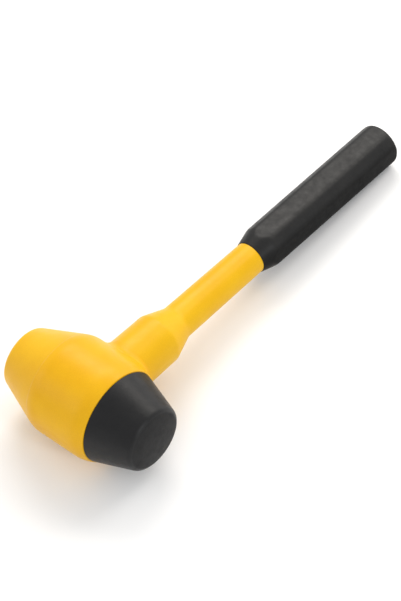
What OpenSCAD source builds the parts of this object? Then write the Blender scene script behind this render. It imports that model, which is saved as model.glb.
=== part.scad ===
// Soft face hammer: a round head with a screw-in striking face at each end,
// a fibreglass handle with a moulded sleeve and collar, and an octagonal rubber grip.
// Millimetres. The head axis lies along X with the soft face towards +X.
// The handle runs towards +Y and dips slightly, because the hammer lies on its side
// on the round of the head and on the butt of the grip, both at Z = 0.

/* [Head] */
// Largest diameter of the head
head_d = 69; // [66:0.5:72]
// Length of the barrel between the two faces
barrel_l = 47; // [46:0.2:48]
// Diameter of the steel core inside the moulded shell
core_d = 52; // [48:0.5:56]
// Distance from the handle axis to where the barrel starts to turn in towards the soft face
turn_in_x = 13.4; // [12.4:0.2:14.6]
// Radius of that turn
turn_in_r = 23; // [21:0.5:26]

/* [Soft face] */
// Length of the soft face, from barrel to striking plane
soft_face_l = 31.8; // [29:0.2:36]
// Diameter of the soft face's cone where it would meet the striking plane
soft_face_d = 43.4; // [38:0.2:45]
// Rounding of the soft face's striking edge
soft_edge_r = 4.4; // [3:0.2:6]
// How far the soft face bulges from its edge to its middle
soft_crown = 1.2; // [0.4:0.2:2]
// Diameter of the flat in the middle of the soft face
soft_flat_d = 16; // [10:1:20]
// How far the soft face's rim sits inside the barrel's rim
soft_rim_step = 0.4; // [0.2:0.1:1]

/* [Hard face] */
// Length of the hard face, from barrel to striking plane
hard_face_l = 32.6; // [30:0.2:36]
// Diameter of the hard face's cone where it would meet the striking plane
hard_face_d = 40.6; // [36:0.2:42]
// Rounding of the hard face's striking edge
hard_edge_r = 4.8; // [3:0.2:6]
// Distance from the handle axis to where barrel and cone would meet without their soft turn
shoulder_x = 19.6; // [18.8:0.2:20.4]
// Radius of the soft turn from the barrel's side into the hard face's cone
shoulder_r = 18.6; // [16:0.2:24]

/* [Thread] */
// Pitch of the face studs' thread
thread_pitch = 3; // [2.5:0.5:3.5]
// Outside diameter of the face studs' thread
thread_d = 19; // [18:0.5:20]
// Depth of thread on the stud
thread_depth = 1.5; // [1.2:0.1:1.6]

/* [Handle] */
// Diameter of the collar next to the head
collar_d = 36; // [33:0.5:36.5]
// Distance from the head axis to the end of the straight collar
collar_end = 63.5; // [58:0.5:68]
// Distance from the head axis to the end of the collar's taper
taper_end = 80; // [76:0.5:90]
// Diameter of the handle sleeve next to the collar
shaft_d = 23.4; // [22.2:0.2:24]
// Diameter of the handle sleeve next to the grip
shaft_tail_d = 22.4; // [21.6:0.2:22.8]
// Diameter of the fibreglass rod
rod_d = 15; // [12:0.5:16]

/* [Grip] */
// Distance from the head axis to the front of the grip
grip_front = 152; // [144:0.2:164]
// Length of the cone at the front of the grip
grip_nose_l = 13.6; // [12:0.2:20]
// Distance from the head axis to the butt of the grip
grip_butt = 284.5; // [276:0.5:310]
// Width of the octagon across its four main flats
grip_af = 27.4; // [26:0.2:28.4]
// Width of the octagon across its four corner flats
grip_corner_af = 29.4; // [28.6:0.2:30]
// Width of the octagon across its eased edges
grip_edge_d = 30; // [29.6:0.2:31]

/* [Hidden] */

head_r = head_d / 2;
half_l = barrel_l / 2;
seam = 0.15;                       // hairline between barrel and face
soft_x = half_l + soft_face_l;     // striking planes, from the handle axis
hard_x = half_l + hard_face_l;
// the turn from barrel to hard face: slope of the cone, where the turn starts and where it ends
hard_slope = atan2(head_r - hard_face_d / 2, hard_x - shoulder_x);
turn_x = shoulder_x - shoulder_r * tan(hard_slope / 2);
turn_end = turn_x + shoulder_r * sin(hard_slope);
core_r = core_d / 2;
rod_r = rod_d / 2;
collar_r = collar_d / 2;
shaft_r = shaft_d / 2;
tail_r = shaft_tail_d / 2;
fit = 0.05;                        // assembly clearance of pressed and moulded pieces

// face stud and its socket
th_r = thread_d / 2;               // stud crest
th_root = th_r - thread_depth;     // stud root
th_gap = 0.4;                      // radial thread clearance
th_flank = 0.25;                   // axial clearance on each flank
socket_l = half_l - rod_r - 4;     // depth of the tapped hole
neck_r = th_r + 0.3;
washer_r = 16;
washer_t = 2;
flange_r = 15;
flange_x = half_l + 5;
flange_t = 3;

// the octagonal grip
grip_bore_r = 10.5;
grip_end_wall = 12;
sleeve_end = grip_butt - grip_end_wall;
grip_corner_r = grip_edge_d / 2;

// rest on the floor: the round of the head and the lower rear edge of the grip touch Z = 0
rest_y = grip_butt - 0.4;
rest_r = grip_af / 2;
rest_l = sqrt(rest_y * rest_y + rest_r * rest_r);
dip = asin(head_r / rest_l) - atan2(rest_r, rest_y);
butt_r = grip_af / 2 - 0.7;
y_far = grip_butt * cos(dip) + butt_r * sin(dip);
y_mid = (y_far - head_r) / 2;
x_mid = (hard_x - soft_x) / 2;     // the hard face is the longer one, so the handle sits off the middle

module place() {
  translate([x_mid, -y_mid, head_r]) rotate([-dip, 0, 0]) children();
}

// turns a shape drawn along +Z so that it points along +X, and along +Y
module along_x() { rotate([0, 90, 0]) children(); }
module along_y() { rotate([-90, 0, 0]) children(); }
// what sits inside the two ends of the head is the same, half a turn apart
module other_end() { rotate([0, 0, 180]) children(); }

// ---- thread: a round rod whose radius follows a right-hand helix ----
function ramp(d, a, b) = d <= a ? 1 : d >= b ? 0 : (b - d) / (b - a);
function helix_r(z, a, root, crest, wide) =
  let (t = z / thread_pitch - a / 360, d = abs(t - floor(t) - 0.5))
  root + (crest - root) * ramp(d, 0.10 + wide, 0.30 + wide);

module threaded_rod(z0, z1, root, crest, wide, cols = 24) {
  rows = round((z1 - z0) / thread_pitch * 8);
  pts = concat(
    [for (k = [0:rows]) for (j = [0:cols - 1])
      let (z = z0 + (z1 - z0) * k / rows, a = 360 * j / cols, r = helix_r(z, a, root, crest, wide))
      [r * cos(a), r * sin(a), z]],
    [[0, 0, z0], [0, 0, z1]]);
  bottom = (rows + 1) * cols;
  faces = concat(
    [for (k = [0:rows - 1]) for (j = [0:cols - 1])
      [k * cols + j, (k + 1) * cols + j, k * cols + (j + 1) % cols]],
    [for (k = [0:rows - 1]) for (j = [0:cols - 1])
      [k * cols + (j + 1) % cols, (k + 1) * cols + j, (k + 1) * cols + (j + 1) % cols]],
    [for (j = [0:cols - 1]) [bottom, j, (j + 1) % cols]],
    [for (j = [0:cols - 1]) [bottom + 1, rows * cols + (j + 1) % cols, rows * cols + j]]);
  polyhedron(points = pts, faces = faces, convexity = 8);
}

// ---- head ----
// radius of the head at a distance from the handle axis, on the hard side and on the barrel's soft side
function drop(d, r) = d <= 0 ? 0 : r - sqrt(r * r - d * d);
function hard_side(x) = x > turn_end ? head_r - (x - shoulder_x) * tan(hard_slope) : head_r - drop(x - turn_x, shoulder_r);
function soft_side(x) = head_r - drop(x - turn_in_x, turn_in_r);
function spread(a, b, n) = [for (i = [0:n]) a + (b - a) * i / n];

module shell_solid() {
  edge = 0.3;
  along_x() rotate_extrude($fn = 96) polygon(concat(
    [[core_r + fit, half_l], [core_r + fit, -half_l]],
    [for (x = spread(half_l, turn_x, 6)) [hard_side(x), -x]],
    [for (x = spread(turn_in_x, half_l - edge, 7)) [soft_side(x), x]],
    [[soft_side(half_l) - edge, half_l]]));
}

module head_shell() {
  color("gold") place() difference() {
    shell_solid();
    along_y() translate([0, 0, 10]) cylinder(r = collar_r + fit, h = 40, $fn = 64);
  }
}

module socket_cut() {
  along_x() threaded_rod(half_l - socket_l, half_l + 0.6, th_root + th_gap, th_r + th_gap, th_flank / thread_pitch);
}

module head_core() {
  color("slategray") place() difference() {
    along_x() translate([0, 0, -half_l]) cylinder(r = core_r, h = barrel_l, $fn = 96);
    socket_cut();
    other_end() socket_cut();
    along_y() translate([0, 0, -14]) cylinder(r = rod_r + fit, h = 60, $fn = 64);
    translate([0, 8, -40]) cylinder(r = 2.55, h = 80, $fn = 48);
  }
}

// Rounded edge of a face: the cone runs from [r0, x0] to [r1, x1], f is the radius of the rounding,
// and the rounding stops short of the striking plane by the angle lean.
function edge_slope(r0, x0, r1, x1) = atan2(r0 - r1, x1 - x0);
function edge_centre(r0, x0, r1, x1, f) = r1 - f * tan((90 - edge_slope(r0, x0, r1, x1)) / 2);
function edge_arc(r0, x0, r1, x1, f, lean = 0, n = 8) =
  let (slope = edge_slope(r0, x0, r1, x1), c = edge_centre(r0, x0, r1, x1, f))
  [for (a = spread(slope, 90 - lean, n)) [c + f * cos(a), x1 - f + f * sin(a)]];

module soft_outline() {
  rb = soft_side(half_l) - soft_rim_step;
  x0 = half_l + seam;
  r1 = soft_face_d / 2;
  x1 = soft_x - soft_crown;
  flat_r = soft_flat_d / 2;
  c = edge_centre(rb, x0, r1, x1, soft_edge_r);
  lean = atan2(2 * soft_crown, c - flat_r);
  // where the rounding hands over to the dome, and the dome's height from there
  hand_r = c + soft_edge_r * sin(lean);
  rise = soft_crown + soft_edge_r * (1 - cos(lean));
  polygon(concat([[0, x0], [rb - 0.4, x0], [rb, x0 + 0.4]],
    edge_arc(rb, x0, r1, x1, soft_edge_r, lean),
    [for (t = [0.75, 0.5, 0.25, 0]) [flat_r + (hand_r - flat_r) * t, soft_x - rise * t * t]],
    [[0, soft_x]]));
}

module hard_outline() {
  x0 = half_l + seam;
  polygon(concat([[0, x0]], [for (x = spread(x0, max(turn_end, x0 + 0.4), 3)) [hard_side(x), x]],
    edge_arc(head_r, shoulder_x, hard_face_d / 2, hard_x, hard_edge_r), [[0, hard_x]]));
}

// room in a face for its moulded-in stud and the washer under it
module stud_room() {
  translate([0, 0, half_l]) {
    cylinder(r = washer_r + 0.2, h = washer_t + 0.15, $fn = 64);
    cylinder(r = neck_r, h = 6, $fn = 64);
  }
  translate([0, 0, flange_x]) cylinder(r = flange_r, h = flange_t, $fn = 64);
}

module soft_face() {
  color([0.12, 0.12, 0.13]) place() along_x() difference() {
    rotate_extrude($fn = 96) soft_outline();
    stud_room();
  }
}

module hard_face() {
  color("gold") place() other_end() along_x() difference() {
    rotate_extrude($fn = 96) hard_outline();
    stud_room();
  }
}

module stud_solid() {
  along_x() {
    threaded_rod(half_l - socket_l + 0.8, half_l + 0.6, th_root, th_r, 0);
    translate([0, 0, half_l + 0.05]) cylinder(r = neck_r, h = flange_x - half_l + 0.45, $fn = 64);
    translate([0, 0, flange_x]) cylinder(r = flange_r, h = flange_t, $fn = 64);
  }
}

module soft_face_stud() { color("silver") place() stud_solid(); }
module hard_face_stud() { color("silver") place() other_end() stud_solid(); }

module washer_solid() {
  along_x() translate([0, 0, half_l + 0.05]) difference() {
    cylinder(r = washer_r, h = washer_t, $fn = 64);
    translate([0, 0, -1]) cylinder(r = neck_r + 0.05, h = washer_t + 2, $fn = 64);
  }
}

module soft_face_washer() { color("lightsteelblue") place() washer_solid(); }
module hard_face_washer() { color("lightsteelblue") place() other_end() washer_solid(); }

// ---- handle ----
module handle_rod() {
  color("khaki") place() difference() {
    along_y() translate([0, 0, -13.5]) cylinder(r = rod_r, h = sleeve_end + 13.5, $fn = 64);
    translate([0, 8, -40]) cylinder(r = 2.55, h = 80, $fn = 48);
  }
}

// slit spring pin that locks the rod in the core
module handle_pin() {
  pin_l = 44;
  color("dimgray") place() translate([0, 8, -pin_l / 2]) difference() {
    cylinder(r = 2.5, h = pin_l, $fn = 48);
    translate([0, 0, -1]) cylinder(r = 1.5, h = pin_l + 2, $fn = 32);
    translate([0, -0.4, -1]) cube([4, 0.8, pin_l + 2]);
  }
}

// moulded sleeve: collar against the head, taper, shaft, and a thinner tail inside the grip
module handle_sleeve() {
  color("gold") place() difference() {
    along_y() rotate_extrude($fn = 96) polygon([
      [rod_r + fit, 10], [collar_r, 10], [collar_r, head_r + 1], [collar_r - 0.35, collar_end],
      [shaft_r + 0.3, taper_end], [shaft_r, taper_end + 3], [tail_r, grip_front],
      [grip_bore_r, grip_front], [grip_bore_r, sleeve_end], [rod_r + fit, sleeve_end]]);
    along_x() translate([0, 0, -50]) cylinder(r = core_r + fit, h = 100, $fn = 96);
  }
}

// octagonal bar, its eight edges eased by a round of a slightly smaller diameter,
// with a cone at the front and a rounded butt
module square_bar(w) {
  translate([-w / 2, -w / 2, grip_front - 10]) cube([w, w, grip_butt - grip_front + 20]);
}

module grip() {
  color([0.16, 0.16, 0.16]) place() along_y() difference() {
    intersection() {
      square_bar(grip_af);
      rotate([0, 0, 45]) square_bar(grip_corner_af);
      rotate_extrude($fn = 96) polygon([
        [0, grip_front], [tail_r + 0.2, grip_front], [tail_r + 0.5, grip_front + 0.5],
        [grip_corner_r, grip_front + grip_nose_l],
        [grip_corner_r, grip_butt - 4], [grip_corner_r - 0.3, grip_butt - 2],
        [grip_af / 2 + 0.5, grip_butt - 1], [grip_af / 2, grip_butt - 0.4],
        [butt_r, grip_butt], [0, grip_butt]]);
    }
    translate([0, 0, grip_front - 5]) cylinder(r = grip_bore_r + fit, h = sleeve_end + fit - grip_front + 5, $fn = 64);
  }
}

head_shell();
head_core();
soft_face();
soft_face_stud();
soft_face_washer();
hard_face();
hard_face_stud();
hard_face_washer();
handle_rod();
handle_sleeve();
handle_pin();
grip();
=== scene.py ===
import math

import bpy
import bmesh
from mathutils import Matrix, Vector


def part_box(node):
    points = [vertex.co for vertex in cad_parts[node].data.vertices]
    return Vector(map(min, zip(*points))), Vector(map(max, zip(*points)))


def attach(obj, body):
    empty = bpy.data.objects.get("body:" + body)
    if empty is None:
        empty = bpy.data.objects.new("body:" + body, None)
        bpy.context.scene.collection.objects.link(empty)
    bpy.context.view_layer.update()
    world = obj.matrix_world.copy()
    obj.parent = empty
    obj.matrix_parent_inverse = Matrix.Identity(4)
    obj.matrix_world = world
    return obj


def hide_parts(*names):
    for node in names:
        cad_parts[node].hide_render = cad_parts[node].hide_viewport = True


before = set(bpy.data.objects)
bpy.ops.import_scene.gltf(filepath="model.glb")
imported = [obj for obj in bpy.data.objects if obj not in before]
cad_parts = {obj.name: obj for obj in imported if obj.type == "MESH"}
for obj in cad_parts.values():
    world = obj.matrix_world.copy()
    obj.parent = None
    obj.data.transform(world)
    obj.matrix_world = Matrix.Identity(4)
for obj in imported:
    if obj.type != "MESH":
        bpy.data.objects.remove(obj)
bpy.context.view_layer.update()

# ------------------------------------------------------------------ sizes (millimetres), as in the CAD part
HEAD_R = 34.5
HALF_L = 23.5
TURN_IN_X = 13.4
TURN_IN_R = 23.0
SOFT_X = HALF_L + 31.8
SOFT_R = 21.7
SOFT_EDGE = 4.4
SOFT_STEP = 0.4
SOFT_CROWN = 1.2
HARD_X = HALF_L + 32.6
HARD_R = 20.3
HARD_EDGE = 4.8
SHOULDER_X = 19.6
SHOULDER_R = 18.6
HARD_SLOPE = math.atan2(HEAD_R - HARD_R, HARD_X - SHOULDER_X)
TURN_X = SHOULDER_X - SHOULDER_R * math.tan(HARD_SLOPE / 2)
TURN_END = TURN_X + SHOULDER_R * math.sin(HARD_SLOPE)
SEAM = 0.15
HAIRLINE = 0.015
CORE_R = 26.0
COLLAR_R = 18.0
COLLAR_END = 63.5
TAPER_END = 80.0
SHAFT_R = 11.7
TAIL_R = 11.2
ROD_R = 7.5
GRIP_FRONT = 152.0
GRIP_NOSE = 13.6
GRIP_BUTT = 284.5
GRIP_FLAT = 13.7
GRIP_CORNER_FLAT = 14.7
GRIP_CORNER = 15.0
GRIP_BORE = 10.55
SLEEVE_END = GRIP_BUTT - 12.0
PITCH = 3.0
TH_R = 9.5
TH_ROOT = 8.0
NECK_R = 9.8
FLANGE_R = 15.0
FLANGE_X = HALF_L + 5.0
FLANGE_T = 3.0
WASHER_R = 16.0
WASHER_T = 2.0
STUD_X0 = ROD_R + 4.0 + 0.8

REST_Y = GRIP_BUTT - 0.4
DIP = math.asin(HEAD_R / math.hypot(REST_Y, GRIP_FLAT)) - math.atan2(GRIP_FLAT, REST_Y)
HEAD_C = (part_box("head_core")[0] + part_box("head_core")[1]) / 2
# hammer frame (millimetres, head centre at the origin, handle along +Y) to the row frame (metres)
TO_ROW = Matrix.Translation(HEAD_C) @ Matrix.Rotation(-DIP, 4, "X") @ Matrix.Scale(0.001, 4)


# ------------------------------------------------------------------ mesh helpers
def rounded(points, seg=6, step=4.0, lead=0.35):
    """Outline with its corners turned into arcs. points: (radius, along, corner radius)."""
    pts = []
    n = len(points)
    for i, (r, t, f) in enumerate(points):
        p = Vector((r, t))
        if f <= 0 or i in (0, n - 1):
            pts.append(p)
            continue
        a, b = Vector(points[i - 1][:2]), Vector(points[i + 1][:2])
        d1, d2 = (a - p).normalized(), (b - p).normalized()
        ang = math.acos(max(-1.0, min(1.0, d1.dot(d2))))
        cut = min(f / math.tan(ang / 2), 0.49 * (a - p).length, 0.49 * (b - p).length)
        rad = cut * math.tan(ang / 2)
        c = p + (d1 + d2).normalized() * (rad / math.sin(ang / 2))
        s, e = p + d1 * cut - c, p + d2 * cut - c
        a0, a1 = math.atan2(s.y, s.x), math.atan2(e.y, e.x)
        while a1 - a0 > math.pi:
            a1 -= 2 * math.pi
        while a1 - a0 < -math.pi:
            a1 += 2 * math.pi
        for k in range(seg + 1):
            q = a0 + (a1 - a0) * k / seg
            pts.append(c + Vector((math.cos(q), math.sin(q))) * rad)
    out = [pts[0]]
    for p, q in zip(pts, pts[1:]):
        d = (q - p).length
        if d < 1e-6:
            continue
        if d > 3 * lead + 0.6:
            cuts = [lead]
            m = max(1, int(round((d - 2 * lead) / step)))
            cuts += [lead + (d - 2 * lead) * k / m for k in range(1, m)]
            cuts += [d - lead]
            out += [p + (q - p) * (c / d) for c in cuts]
        out.append(q)
    return out


def make(name, verts, faces, slot, body, nodes, sharp=36.0):
    me = bpy.data.meshes.new(name)
    me.from_pydata([TO_ROW @ Vector(v) for v in verts], [], faces)
    bm = bmesh.new()
    bm.from_mesh(me)
    bmesh.ops.remove_doubles(bm, verts=bm.verts, dist=1e-7)
    bmesh.ops.recalc_face_normals(bm, faces=bm.faces)
    bm.to_mesh(me)
    bm.free()
    me.polygons.foreach_set("use_smooth", [True] * len(me.polygons))
    me.update()
    me.set_sharp_from_angle(angle=math.radians(sharp))
    ob = bpy.data.objects.new(name, me)
    bpy.context.scene.collection.objects.link(ob)
    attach(ob, body)
    for n in nodes:
        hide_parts(n)
    return ob


def revolve(prof, axis, n, closed=False, warp=None):
    """Turns an outline about the X or Y axis. axis is +1 or -1 along X, or "y" along the handle."""
    verts, rings, faces = [], [], []

    def put(r, t, a):
        c, s = r * math.cos(a), r * math.sin(a)
        if axis == "y":
            v = (c, t, s)
        else:
            v = (axis * t, axis * c, s)
        verts.append(warp(v, r) if warp else v)
        return len(verts) - 1

    for p in prof:
        if p.x < 1e-6:
            rings.append([put(0.0, p.y, 0.0)])
        else:
            rings.append([put(p.x, p.y, 2 * math.pi * k / n) for k in range(n)])
    pairs = list(zip(rings, rings[1:]))
    if closed:
        pairs.append((rings[-1], rings[0]))
    for a, b in pairs:
        for k in range(n):
            j = (k + 1) % n
            if len(a) == 1 and len(b) == 1:
                continue
            if len(a) == 1:
                faces.append((a[0], b[k], b[j]))
            elif len(b) == 1:
                faces.append((a[k], b[0], a[j]))
            else:
                faces.append((a[k], b[k], b[j], a[j]))
    return verts, faces


def loft(rows):
    """Closed skin over rings of equal count; a ring of one point closes an end."""
    verts, rings, faces = [], [], []
    for row in rows:
        rings.append(list(range(len(verts), len(verts) + len(row))))
        verts += row
    for a, b in zip(rings, rings[1:]):
        n = max(len(a), len(b))
        for k in range(n):
            j = (k + 1) % n
            if len(a) == 1:
                faces.append((a[0], b[k], b[j]))
            elif len(b) == 1:
                faces.append((a[k], b[0], a[j]))
            else:
                faces.append((a[k], b[k], b[j], a[j]))
    return verts, faces


# ------------------------------------------------------------------ head shell: barrel with the collar's hole in its side
def barrel_r(x):
    """Radius of the head: straight at the handle, then a soft turn towards each face."""
    if x > TURN_IN_X:
        return HEAD_R - TURN_IN_R + math.sqrt(TURN_IN_R ** 2 - (x - TURN_IN_X) ** 2)
    if x < -TURN_END:
        return HEAD_R + (x + SHOULDER_X) * math.tan(HARD_SLOPE)
    if x < -TURN_X:
        return HEAD_R - SHOULDER_R + math.sqrt(SHOULDER_R ** 2 - (x + TURN_X) ** 2)
    return HEAD_R


def blend_radius(phi):
    """Fillet between barrel and collar: wide along the handle's top and underside, small at the sides where the barrel ends."""
    return ROOT_SIDE + (ROOT_TOP - ROOT_SIDE) * math.sin(phi) ** 2


ROOT_SIDE, ROOT_TOP = 3.0, 8.0


def shell_mesh():
    nx, step_deg = 42, 3
    gap = COLLAR_R + 0.03
    # the rim at the soft face is rounded with this radius, tangent to the turn
    edge = 0.7
    left_x, right_x = HALF_L - 0.02, HALF_L - edge
    for _ in range(20):
        lean = math.asin((right_x - TURN_IN_X) / TURN_IN_R)
        right_x = HALF_L - edge + edge * math.sin(lean)
    rim_c = barrel_r(right_x) - edge * math.cos(lean)
    verts, faces = [], []

    def add(v):
        verts.append(v)
        return len(verts) - 1

    def wall(radius, x0, x1, half_deg, rim_at):
        """Wall about X with a hole towards +Y. Returns its two end rings and the rim of the hole."""
        nth = 360 // step_deg
        half = half_deg // step_deg
        xs = [x0 + (x1 - x0) * i / nx for i in range(nx + 1)]
        grid = {}
        for j in range(-half, nth - half):
            inside = -half < j < half
            for i, x in enumerate(xs):
                if inside and 0 < i < nx:
                    continue
                a = math.radians(j * step_deg)
                grid[i, j] = add((x, radius(x) * math.cos(a), radius(x) * math.sin(a)))
        for j in range(half, nth - half):
            jj = j + 1 if j + 1 < nth - half else -half
            for i in range(nx):
                faces.append((grid[i, j], grid[i + 1, j], grid[i + 1, jj], grid[i, jj]))
        per = [(i, -half) for i in range(nx)] + [(nx, j) for j in range(-half, half)]
        per += [(i, half) for i in range(nx, 0, -1)] + [(0, j) for j in range(half, -half, -1)]
        ring = [grid[k] for k in per]
        start = [verts[g] for g in ring]
        phis = [math.atan2(v[2], v[0]) for v in start]
        m = 12
        for k in range(1, m + 1):
            t = 1 - (1 - k / m) ** 1.25
            new = []
            for v, phi in zip(start, phis):
                hx, hz = rim_at(phi)
                px, pz = v[0] + (hx - v[0]) * t, v[2] + (hz - v[2]) * t
                new.append(add((px, math.sqrt(radius(px) ** 2 - pz * pz), pz)))
            for a in range(len(per)):
                b = (a + 1) % len(per)
                faces.append((ring[a], ring[b], new[b], new[a]))
            ring = new
        left = [grid[0, j] for j in range(-half, nth - half)]
        right = [grid[nx, j] for j in range(-half, nth - half)]
        return left, right, ring, half, phis

    def join(a, b):
        n = len(a)
        for k in range(n):
            j = (k + 1) % n
            faces.append((a[k], a[j], b[j], b[k]))

    def ball(phi):
        """Centre and radius of the fillet's ball at an angle round the handle."""
        rho = blend_radius(phi)
        x, z = (COLLAR_R + rho) * math.cos(phi), (COLLAR_R + rho) * math.sin(phi)
        big = barrel_r(max(-HALF_L, min(HALF_L, x))) + rho
        return Vector((x, math.sqrt(big * big - z * z), z)), rho, big

    def outer_rim(phi):
        c, rho, big = ball(phi)
        return c.x, c.z * (big - rho) / big

    ol, orr, orim, half, phis = wall(barrel_r, -left_x, right_x, 54, outer_rim)
    il, irr, irim, _, _ = wall(lambda x: CORE_R + 0.05, -left_x, right_x, 54, lambda phi: (gap * math.cos(phi), gap * math.sin(phi)))
    # fillet up the collar, then down beside the collar to the core
    prev = orim
    seg = 9
    for k in range(1, seg + 1):
        new = []
        for phi in phis:
            c, rho, big = ball(phi)
            u0 = Vector((0.0, -c.y, -c.z)) / big
            u1 = Vector((-math.cos(phi), 0.0, -math.sin(phi)))
            ang = math.acos(max(-1.0, min(1.0, u0.dot(u1))))
            t = k / seg
            u = (u0 * math.sin((1 - t) * ang) + u1 * math.sin(t * ang)) / math.sin(ang)
            new.append(add(tuple(c + u * (rho - 0.03 * t))))
        join(prev, new)
        prev = new
    join(prev, irim)
    # the two ends: outer edge, flat annulus, inner edge
    for sgn, o, i in ((-1, ol, il), (1, orr, irr)):
        nth = len(o)
        angs = [math.radians((j - half) * step_deg) for j in range(nth)]

        def ring(r, x):
            return [add((sgn * x, r * math.cos(a), r * math.sin(a))) for a in angs]

        prev = o
        if sgn > 0:
            rim = rim_c
            for k in range(1, 7):
                q = lean + (math.pi / 2 - lean) * k / 6
                new = ring(rim_c + edge * math.cos(q), HALF_L - edge + edge * math.sin(q))
                join(prev, new)
                prev = new
        else:
            rim = barrel_r(-HALF_L) - 0.02
            new = ring(rim, HALF_L)
            join(prev, new)
            prev = new
        for r in (rim - 0.4, (rim + CORE_R) / 2, CORE_R + 0.5):
            new = ring(r, HALF_L)
            join(prev, new)
            prev = new
        new = ring(CORE_R + 0.05, HALF_L - 0.45)
        join(prev, new)
        join(new, i)
    return verts, faces


# ------------------------------------------------------------------ screw-in faces
def recess(gap):
    """Stud hole and the recess for the backing washer, in the back of a face."""
    x0 = HALF_L
    return [
        (NECK_R + 0.02, FLANGE_X - 0.4, 0),
        (NECK_R + 0.02, x0 + WASHER_T + 0.15, 0.2),
        (WASHER_R + 0.2, x0 + WASHER_T + 0.15, 0.2),
        (WASHER_R + 0.2, x0 + gap, 0.3),
    ]


def soft_profile():
    """Back, rim just inside the barrel's rim, cone, rounded striking edge, domed face."""
    rim, x0, x1 = barrel_r(HALF_L) - SOFT_STEP, HALF_L + SEAM, SOFT_X - SOFT_CROWN
    slope = math.atan2(rim - SOFT_R, x1 - x0)
    c = SOFT_R - SOFT_EDGE * math.tan((math.pi / 2 - slope) / 2)
    pts = rounded(recess(SEAM) + [(rim, x0, 0.35), (SOFT_R, x1, 0)], seg=8)[:-2]
    # edge rounding up to where the dome takes over, then the dome
    lean = math.atan2(2 * SOFT_CROWN, c)
    for k in range(19):
        a = slope + (math.pi / 2 - lean - slope) * k / 18
        pts.append(Vector((c + SOFT_EDGE * math.cos(a), x1 - SOFT_EDGE + SOFT_EDGE * math.sin(a))))
    hand = pts[-1].copy()
    for k in range(1, 13):
        t = 1 - k / 12
        pts.append(Vector((hand.x * t, SOFT_X - (SOFT_X - hand.y) * t * t)))
    return pts


def hard_profile():
    """Back, hairline, cone that carries on the barrel's turn, rounded striking edge, slightly crowned face."""
    x0 = HALF_L + HAIRLINE
    return rounded(recess(HAIRLINE) + [
        (barrel_r(-x0 - 0.02) - 0.02, x0, 0), (barrel_r(-x0 - 0.02), x0 + 0.02, 0),
        (HARD_R, HARD_X - 0.3, HARD_EDGE),
        (0.0, HARD_X, 0)], seg=14)


# ------------------------------------------------------------------ handle sleeve
def sleeve_mesh():
    out = rounded([
        (ROD_R + 0.05, 18.0, 0), (COLLAR_R, 18.0, 0),
        (COLLAR_R, 35.0, 0),
        (COLLAR_R - 0.35, COLLAR_END, 9.0),
        (SHAFT_R + 0.05, TAPER_END, 12.0),
        (TAIL_R, GRIP_FRONT + 0.3, 0), (GRIP_BORE - 0.05, GRIP_FRONT + 0.3, 0),
        (GRIP_BORE - 0.05, SLEEVE_END, 0.4), (ROD_R + 0.05, SLEEVE_END, 0.2),
        (ROD_R + 0.05, 18.0, 0)], seg=10, step=3.0)

    def saddle(v, r):
        x, y, z = v
        low = math.sqrt((CORE_R + 0.06) ** 2 - z * z)
        return (x, max(y, low), z)

    return revolve(out[:-1], "y", 144, closed=True, warp=saddle)


# ------------------------------------------------------------------ grip
OCT_K = 19.0


def octagon(theta):
    """Soft-edged octagon: four main flats and four slightly wider-set corner flats."""
    t = 0.0
    for i in range(8):
        d = GRIP_CORNER_FLAT if i % 2 else GRIP_FLAT
        t += max(0.0, math.cos(theta - math.pi / 4 * i) / d) ** OCT_K
    return t ** (-1.0 / OCT_K)


def smin(a, b, w):
    return -w * math.log(math.exp(-a / w) + math.exp(-b / w))


def grip_mesh(n=192):
    ths = [2 * math.pi * k / n for k in range(n)]
    rows = []

    def ring(y, f):
        rows.append([(f(t) * math.cos(t), y, f(t) * math.sin(t)) for t in ths])

    end = SLEEVE_END + 0.05
    rows.append([(0.0, end, 0.0)])
    ring(end, lambda t: GRIP_BORE - 0.4)
    ring(end - 0.3, lambda t: GRIP_BORE)
    ring(GRIP_FRONT + 30.0, lambda t: GRIP_BORE)
    ring(GRIP_FRONT + 0.5, lambda t: GRIP_BORE)
    # front lip
    ring(GRIP_FRONT + 0.15, lambda t: GRIP_BORE + 0.1)
    ring(GRIP_FRONT, lambda t: TAIL_R - 0.02)
    ring(GRIP_FRONT, lambda t: TAIL_R + 0.18)
    nose0 = TAIL_R + 0.45
    slope = (GRIP_CORNER + 0.35 - nose0) / GRIP_NOSE

    def body(y):
        cone = nose0 + slope * (y - GRIP_FRONT - 0.3)
        butt = 15.1 - 2.1 * math.exp((y - GRIP_BUTT) / 1.0)
        return lambda t: smin(octagon(t), min(cone, butt), 0.14)

    ring(GRIP_FRONT + 0.08, lambda t: TAIL_R + 0.34)
    y = GRIP_FRONT + 0.3
    while y < GRIP_FRONT + GRIP_NOSE + 8:
        ring(y, body(y))
        y += 0.5
    m = 34
    y0, y1 = y, GRIP_BUTT - 10.0
    for k in range(m + 1):
        y = y0 + (y1 - y0) * k / m
        ring(y, body(y))
    # the octagon runs out into a round butt
    for k in range(1, 25):
        y = GRIP_BUTT - 9.7 * (1 - k / 24) ** 2.2 - 0.3
        ring(y, body(y))
    ring(GRIP_BUTT - 0.12, lambda t: 12.9)
    ring(GRIP_BUTT - 0.03, lambda t: 12.6)
    for r in (12.2, 8.0, 4.0):
        ring(GRIP_BUTT, lambda t: r)
    rows.append([(0.0, GRIP_BUTT, 0.0)])
    return loft(rows)


# ------------------------------------------------------------------ studs and washers
def helix_r(z, a):
    t = z / PITCH - a / (2 * math.pi)
    d = abs(t - math.floor(t) - 0.5)
    k = 1.0 if d <= 0.10 else 0.0 if d >= 0.30 else (0.30 - d) / 0.20
    k = k * k * (3 - 2 * k)
    return TH_ROOT + (TH_R - TH_ROOT) * k


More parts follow.
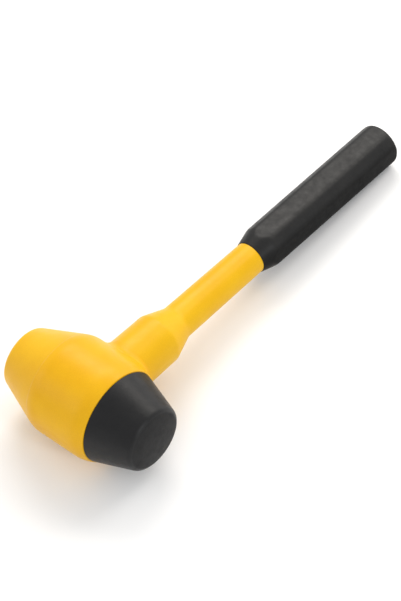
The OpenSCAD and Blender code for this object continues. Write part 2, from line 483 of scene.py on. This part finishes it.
def stud_mesh(axis, cols=96):
    rows = []
    ths = [2 * math.pi * k / cols for k in range(cols)]

    # local: thread axis along +Z, turned so that it points along +X, then half a turn for the other end
    def place(x, y, z):
        p = (z, y, -x)
        return p if axis > 0 else (-p[0], -p[1], p[2])

    def ring(z, f):
        rows.append([place(f(t) * math.cos(t), f(t) * math.sin(t), z) for t in ths])

    z0, z1 = STUD_X0, HALF_L + 0.05
    rows.append([place(0, 0, z0)])
    ring(z0, lambda t: 6.6)
    m = 84
    for k in range(m + 1):
        z = z0 + 0.02 + (z1 - z0 - 0.02) * k / m
        ring(z, lambda t: min(helix_r(z, t), TH_ROOT - 1.2 + 0.9 * (z - z0)))
    ring(z1, lambda t: NECK_R - 0.15)
    ring(z1 + 0.15, lambda t: NECK_R)
    ring(FLANGE_X, lambda t: NECK_R)
    ring(FLANGE_X, lambda t: FLANGE_R - 0.3)
    ring(FLANGE_X + 0.3, lambda t: FLANGE_R)
    ring(FLANGE_X + FLANGE_T - 0.3, lambda t: FLANGE_R)
    ring(FLANGE_X + FLANGE_T, lambda t: FLANGE_R - 0.3)
    ring(FLANGE_X + FLANGE_T, lambda t: 7.0)
    rows.append([place(0, 0, FLANGE_X + FLANGE_T)])
    return loft(rows)


def washer_profile():
    x0, x1, r0, r1 = HALF_L + 0.05, HALF_L + 0.05 + WASHER_T, NECK_R + 0.05, WASHER_R
    pts = rounded([(r0, (x0 + x1) / 2, 0), (r0, x0, 0.25), (r1, x0, 0.35), (r1, x1, 0.35), (r0, x1, 0.25), (r0, (x0 + x1) / 2, 0)], seg=4, step=2.0, lead=0.2)
    return pts[:-1]


shell = make("shell_barrel", *shell_mesh(), "shell", "hammer", ["head_shell"])
soft = make("soft_face_cone", *revolve(soft_profile(), 1, 180), "soft_face", "soft_tip", ["soft_face"])
hard = make("hard_face_cone", *revolve(hard_profile(), -1, 180), "hard_face", "hard_tip", ["hard_face"])
sleeve = make("handle_moulding", *sleeve_mesh(), "sleeve", "hammer", ["handle_sleeve"])
grip = make("grip_rubber", *grip_mesh(), "grip", "hammer", ["grip"])
soft_stud = make("soft_stud_thread", *stud_mesh(1), "stud", "soft_tip", ["soft_face_stud"])
hard_stud = make("hard_stud_thread", *stud_mesh(-1), "stud", "hard_tip", ["hard_face_stud"])
soft_washer = make("soft_backing_ring", *revolve(washer_profile(), 1, 96, closed=True), "washer", "soft_washer", ["soft_face_washer"])
hard_washer = make("hard_backing_ring", *revolve(washer_profile(), -1, 96, closed=True), "washer", "hard_washer", ["hard_face_washer"])


# ------------------------------------------------------------------ materials
def srgb(r, g, b):
    def lin(c):
        c /= 255.0
        return c / 12.92 if c <= 0.04045 else ((c + 0.055) / 1.055) ** 2.4
    return (lin(r), lin(g), lin(b), 1.0)


class Mat:
    def __init__(self, name, **sockets):
        self.m = bpy.data.materials.new(name)
        self.m.use_nodes = True
        self.t = self.m.node_tree
        self.b = self.t.nodes["Principled BSDF"] if "Principled BSDF" in self.t.nodes else self.t.nodes.new("ShaderNodeBsdfPrincipled")
        out = [n for n in self.t.nodes if n.type == "OUTPUT_MATERIAL"]
        out = out[0] if out else self.t.nodes.new("ShaderNodeOutputMaterial")
        self.t.links.new(self.b.outputs["BSDF"], out.inputs["Surface"])
        for k, v in sockets.items():
            self.b.inputs[k.replace("_", " ")].default_value = v
        self.tc = self.node("ShaderNodeTexCoord")

    def node(self, kind, **props):
        n = self.t.nodes.new(kind)
        for k, v in props.items():
            setattr(n, k, v)
        return n

    def link(self, a, b):
        self.t.links.new(a, b)

    def coords(self, scale=(1, 1, 1), loc=(0, 0, 0), rot=(0, 0, 0)):
        mp = self.node("ShaderNodeMapping", vector_type="TEXTURE")
        mp.inputs["Location"].default_value = loc
        mp.inputs["Rotation"].default_value = rot
        mp.inputs["Scale"].default_value = scale
        self.link(self.tc.outputs["Object"], mp.inputs["Vector"])
        return mp.outputs["Vector"]

    def noise(self, scale, detail=4.0, rough=0.55, vec=None, distortion=0.0):
        n = self.node("ShaderNodeTexNoise")
        n.inputs["Scale"].default_value = scale
        n.inputs["Detail"].default_value = detail
        n.inputs["Roughness"].default_value = rough
        n.inputs["Distortion"].default_value = distortion
        self.link(vec if vec is not None else self.tc.outputs["Object"], n.inputs["Vector"])
        return n.outputs["Fac"]

    def ramp(self, fac, stops):
        r = self.node("ShaderNodeValToRGB")
        e = r.color_ramp.elements
        while len(e) < len(stops):
            e.new(0.5)
        for s, (p, c) in zip(e, stops):
            s.position = p
            s.color = c
        self.link(fac, r.inputs["Fac"])
        return r.outputs["Color"]

    def span(self, fac, lo, hi, a=0.0, b=1.0):
        m = self.node("ShaderNodeMapRange")
        m.inputs["From Min"].default_value = a
        m.inputs["From Max"].default_value = b
        m.inputs["To Min"].default_value = lo
        m.inputs["To Max"].default_value = hi
        self.link(fac, m.inputs["Value"])
        return m.outputs["Result"]

    def mix(self, a, b, fac, mode="MIX"):
        m = self.node("ShaderNodeMix", data_type="RGBA", blend_type=mode)
        for sock, v in ((m.inputs["Factor"], fac), (m.inputs[6], a), (m.inputs[7], b)):
            if hasattr(v, "links") or hasattr(v, "is_linked"):
                self.link(v, sock)
            else:
                sock.default_value = v
        return m.outputs[2]

    def bump(self, height, strength, dist, under=None):
        b = self.node("ShaderNodeBump")
        b.inputs["Strength"].default_value = strength
        b.inputs["Distance"].default_value = dist
        self.link(height, b.inputs["Height"])
        if under is not None:
            self.link(under, b.inputs["Normal"])
        return b.outputs["Normal"]

    def to(self, socket, out):
        self.link(out, self.b.inputs[socket])

    def on(self, *objs):
        for o in objs:
            o.data.materials.clear()
            o.data.materials.append(self.m)


def moulded_yellow(name, deep, mid, light, rough):
    """Satin moulded polymer: slow drift of tone, fine pigment speckle, faint orange peel and handling marks."""
    m = Mat(name)
    m.b.inputs["Specular IOR Level"].default_value = 0.18
    drift = m.noise(38.0, 3.0, 0.5)
    speck = m.noise(1500.0, 2.0, 0.6)
    col = m.ramp(drift, [(0.30, deep), (0.52, mid), (0.74, light)])
    tone = m.ramp(speck, [(0.35, (0.94, 0.94, 0.94, 1)), (0.65, (1, 1, 1, 1))])
    m.to("Base Color", m.mix(col, tone, 1.0, "MULTIPLY"))
    scuff = m.noise(160.0, 6.0, 0.7, distortion=0.6)
    m.to("Roughness", m.span(scuff, rough - 0.07, rough + 0.08, 0.3, 0.7))
    peel = m.noise(420.0, 3.0, 0.5)
    fine = m.noise(2600.0, 2.0, 0.5)
    m.to("Normal", m.bump(fine, 0.10, 0.0001, m.bump(peel, 0.12, 0.0003)))
    return m


def rubber(name, deep, mid, light, rough, grain, depth, sheen, painted_shade_spec, start, full):
    """Matt black rubber: mottled grey bloom and a fine grain; painted shade: what faces along the head axis gets a
    lower specular level, so it reflects less and looks darker.
    """
    m = Mat(name)
    axes = m.node("ShaderNodeSeparateXYZ")
    m.link(m.tc.outputs["Normal"], axes.inputs["Vector"])
    facing = m.node("ShaderNodeMath", operation="ABSOLUTE")
    m.link(axes.outputs["X"], facing.inputs[0])
    # painted shade: specular level falls from the sheen value to the low value as the surface turns to face along the
    # head axis
    m.to("Specular IOR Level", m.span(facing.outputs["Value"], sheen, painted_shade_spec, start, full))
    bloom = m.noise(55.0, 5.0, 0.62)
    mott = m.noise(grain, 3.0, 0.6)
    col = m.ramp(bloom, [(0.30, deep), (0.52, mid), (0.74, light)])
    tone = m.ramp(mott, [(0.32, (0.80, 0.80, 0.80, 1)), (0.68, (1, 1, 1, 1))])
    m.to("Base Color", m.mix(col, tone, 1.0, "MULTIPLY"))
    m.to("Roughness", m.span(m.noise(210.0, 5.0, 0.6), rough - 0.08, rough + 0.08, 0.3, 0.7))
    coarse = m.noise(grain, 3.0, 0.55)
    fine = m.noise(grain * 3.5, 2.0, 0.5)
    m.to("Normal", m.bump(fine, 0.25, 0.0001, m.bump(coarse, depth, 0.0004)))
    return m


def turned_steel(name, dark, light, rough, centre):
    """Turned steel: rings about the head axis and a drift of tone."""
    m = Mat(name, Metallic=1.0)
    vec = m.coords(loc=centre)
    w = m.node("ShaderNodeTexWave", wave_type="RINGS", rings_direction="X", wave_profile="SIN")
    w.inputs["Scale"].default_value = 420.0
    w.inputs["Distortion"].default_value = 1.2
    w.inputs["Detail"].default_value = 2.0
    w.inputs["Detail Scale"].default_value = 3.0
    m.link(vec, w.inputs["Vector"])
    m.to("Base Color", m.ramp(m.noise(70.0, 5.0, 0.6), [(0.3, dark), (0.7, light)]))
    m.to("Roughness", m.span(m.noise(240.0, 4.0, 0.6), rough - 0.08, rough + 0.10, 0.3, 0.7))
    m.to("Normal", m.bump(w.outputs["Fac"], 0.18, 0.0002))
    return m


def plated_steel(name, dark, light, rough):
    m = Mat(name, Metallic=1.0)
    m.to("Base Color", m.ramp(m.noise(130.0, 6.0, 0.65), [(0.3, dark), (0.7, light)]))
    m.to("Roughness", m.span(m.noise(520.0, 4.0, 0.6), rough - 0.08, rough + 0.12, 0.3, 0.7))
    m.to("Normal", m.bump(m.noise(1800.0, 2.0, 0.5), 0.10, 0.0001))
    return m


def fibreglass(name):
    """Pultruded rod: long pale fibres along the handle in amber resin."""
    m = Mat(name)
    vec = m.coords(scale=(1, 40, 1), rot=(-DIP, 0, 0))
    fib = m.noise(900.0, 4.0, 0.6, vec)
    m.to("Base Color", m.ramp(fib, [(0.3, srgb(168, 148, 92)), (0.5, srgb(206, 190, 140)), (0.7, srgb(232, 224, 190))]))
    m.to("Roughness", m.span(fib, 0.38, 0.6, 0.3, 0.7))
    m.to("Normal", m.bump(fib, 0.25, 0.0003))
    return m


yellow_shell = moulded_yellow("yellow_shell", srgb(221, 164, 11), srgb(225, 170, 15), srgb(228, 175, 20), 0.38)
yellow_face = moulded_yellow("yellow_hard_face", srgb(222, 167, 14), srgb(226, 173, 19), srgb(229, 178, 24), 0.38)
yellow_sleeve = moulded_yellow("yellow_sleeve", srgb(218, 165, 9), srgb(222, 171, 13), srgb(225, 176, 18), 0.36)
# last four numbers: sheen specular level, painted-shade specular level, and the |normal X| range over which the painted
# shade sets in
black_face = rubber("black_soft_face", srgb(20, 20, 21), srgb(23, 23, 24), srgb(28, 28, 28), 0.42, 700.0, 0.08, 0.27, 0.11, 0.90, 0.995)
black_grip = rubber("black_grip", srgb(20, 20, 20), srgb(24, 24, 24), srgb(30, 29, 28), 0.46, 480.0, 0.16, 0.27, 0.04, 0.74, 1.0)
core_steel = turned_steel("turned_core_steel", srgb(120, 121, 123), srgb(158, 158, 158), 0.36, tuple(HEAD_C))
zinc = plated_steel("zinc_plate", srgb(168, 168, 160), srgb(206, 206, 200), 0.30)
ring_steel = turned_steel("washer_steel", srgb(164, 164, 160), srgb(200, 200, 196), 0.30, tuple(HEAD_C))
oxide = plated_steel("black_oxide", srgb(52, 52, 56), srgb(84, 84, 88), 0.38)
glass_rod = fibreglass("fibreglass_rod")

yellow_shell.on(shell)
yellow_face.on(hard)
yellow_sleeve.on(sleeve)
black_face.on(soft)
black_grip.on(grip)
zinc.on(soft_stud, hard_stud)
ring_steel.on(soft_washer, hard_washer)
core_steel.on(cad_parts["head_core"])
oxide.on(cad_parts["handle_pin"])
glass_rod.on(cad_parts["handle_rod"])


# ------------------------------------------------------------------ floor, light, camera
def stage_floor():
    bm = bmesh.new()
    s, n = 3.0, 24
    bmesh.ops.create_grid(bm, x_segments=n, y_segments=n, size=s)
    me = bpy.data.meshes.new("studio_floor")
    bm.to_mesh(me)
    bm.free()
    ob = bpy.data.objects.new("studio_floor", me)
    bpy.context.scene.collection.objects.link(ob)
    m = Mat("pale_floor")
    m.b.inputs["Specular IOR Level"].default_value = 0.2
    m.to("Base Color", m.ramp(m.noise(6.0, 3.0, 0.5), [(0.3, (0.89, 0.89, 0.89, 1)), (0.7, (0.91, 0.91, 0.91, 1))]))
    m.b.inputs["Roughness"].default_value = 0.8
    me.materials.append(m.m)
    return ob


def area(name, loc, target, size, power, color=(1, 1, 1)):
    """Rectangular softbox, size (wide, high), facing the target."""
    d = bpy.data.lights.new(name, "AREA")
    d.shape = "RECTANGLE"
    d.size, d.size_y = size
    d.energy = power
    d.color = color
    ob = bpy.data.objects.new(name, d)
    bpy.context.scene.collection.objects.link(ob)
    ob.location = loc
    ob.rotation_euler = (Vector(target) - Vector(loc)).to_track_quat("-Z", "Y").to_euler()
    return ob


stage_floor()
world = bpy.data.worlds.new("studio")
bpy.context.scene.world = world
world.use_nodes = True
bg = [n for n in world.node_tree.nodes if n.type == "BACKGROUND"][0]
bg.inputs["Color"].default_value = (0.98, 0.99, 1.0, 1.0)
bg.inputs["Strength"].default_value = 0.76
area("key_softbox", (-0.62, 0.80, 1.14), (0, 0.05, 0.03), (0.9, 0.7), 12.0, (1.0, 0.955, 0.90))
area("top_softbox", (0.26, 1.02, 1.06), (0, 0.0, 0.03), (0.6, 0.6), 5.5, (1.0, 0.945, 0.88))
area("back_card", (0.15, 1.6, 0.40), (0, -0.05, 0.03), (1.3, 0.8), 4.0, (1.0, 0.975, 0.945))
area("side_fill", (1.39, -0.25, 0.78), (0, -0.08, 0.03), (0.25, 0.3), 5.0, (0.97, 0.985, 1.0))
area("front_fill", (-0.95, -1.0, 0.70), (0, -0.1, 0.03), (1.0, 0.7), 4.5, (1.0, 0.975, 0.94))

# viewpoint from the outline fit: hammer frame, in units of 34.25 mm
UNIT = 34.25
AZ, EL, ROLL = math.radians(44.8347), math.radians(47.9745), math.radians(-4.5066)
back = Vector((math.sin(AZ) * math.cos(EL), -math.cos(AZ) * math.cos(EL), math.sin(EL)))
right = Vector((math.cos(AZ), math.sin(AZ), 0.0))
up = back.cross(right)
r2 = right * math.cos(ROLL) + up * math.sin(ROLL)
u2 = -right * math.sin(ROLL) + up * math.cos(ROLL)
eye = (Vector((-0.0237, 3.0423, 0.0)) + (r2 - u2) * 0.0037 + back * 60.0) * UNIT
turn = Matrix.Rotation(-DIP, 3, "X")
cam_data = bpy.data.cameras.new("photo_camera")
cam_data.sensor_width = 36.0
cam_data.lens = 3233.3742 * 36.0 / 601.0
cam_data.clip_start = 0.05
cam_data.clip_end = 20.0
cam = bpy.data.objects.new("photo_camera", cam_data)
bpy.context.scene.collection.objects.link(cam)
rot = Matrix((turn @ r2, turn @ u2, turn @ back)).transposed()
cam.matrix_world = Matrix.Translation(TO_ROW @ eye) @ rot.to_4x4()
bpy.context.scene.camera = cam

bpy.context.scene.view_settings.view_transform = "Standard"
bpy.context.scene.view_settings.look = "None"
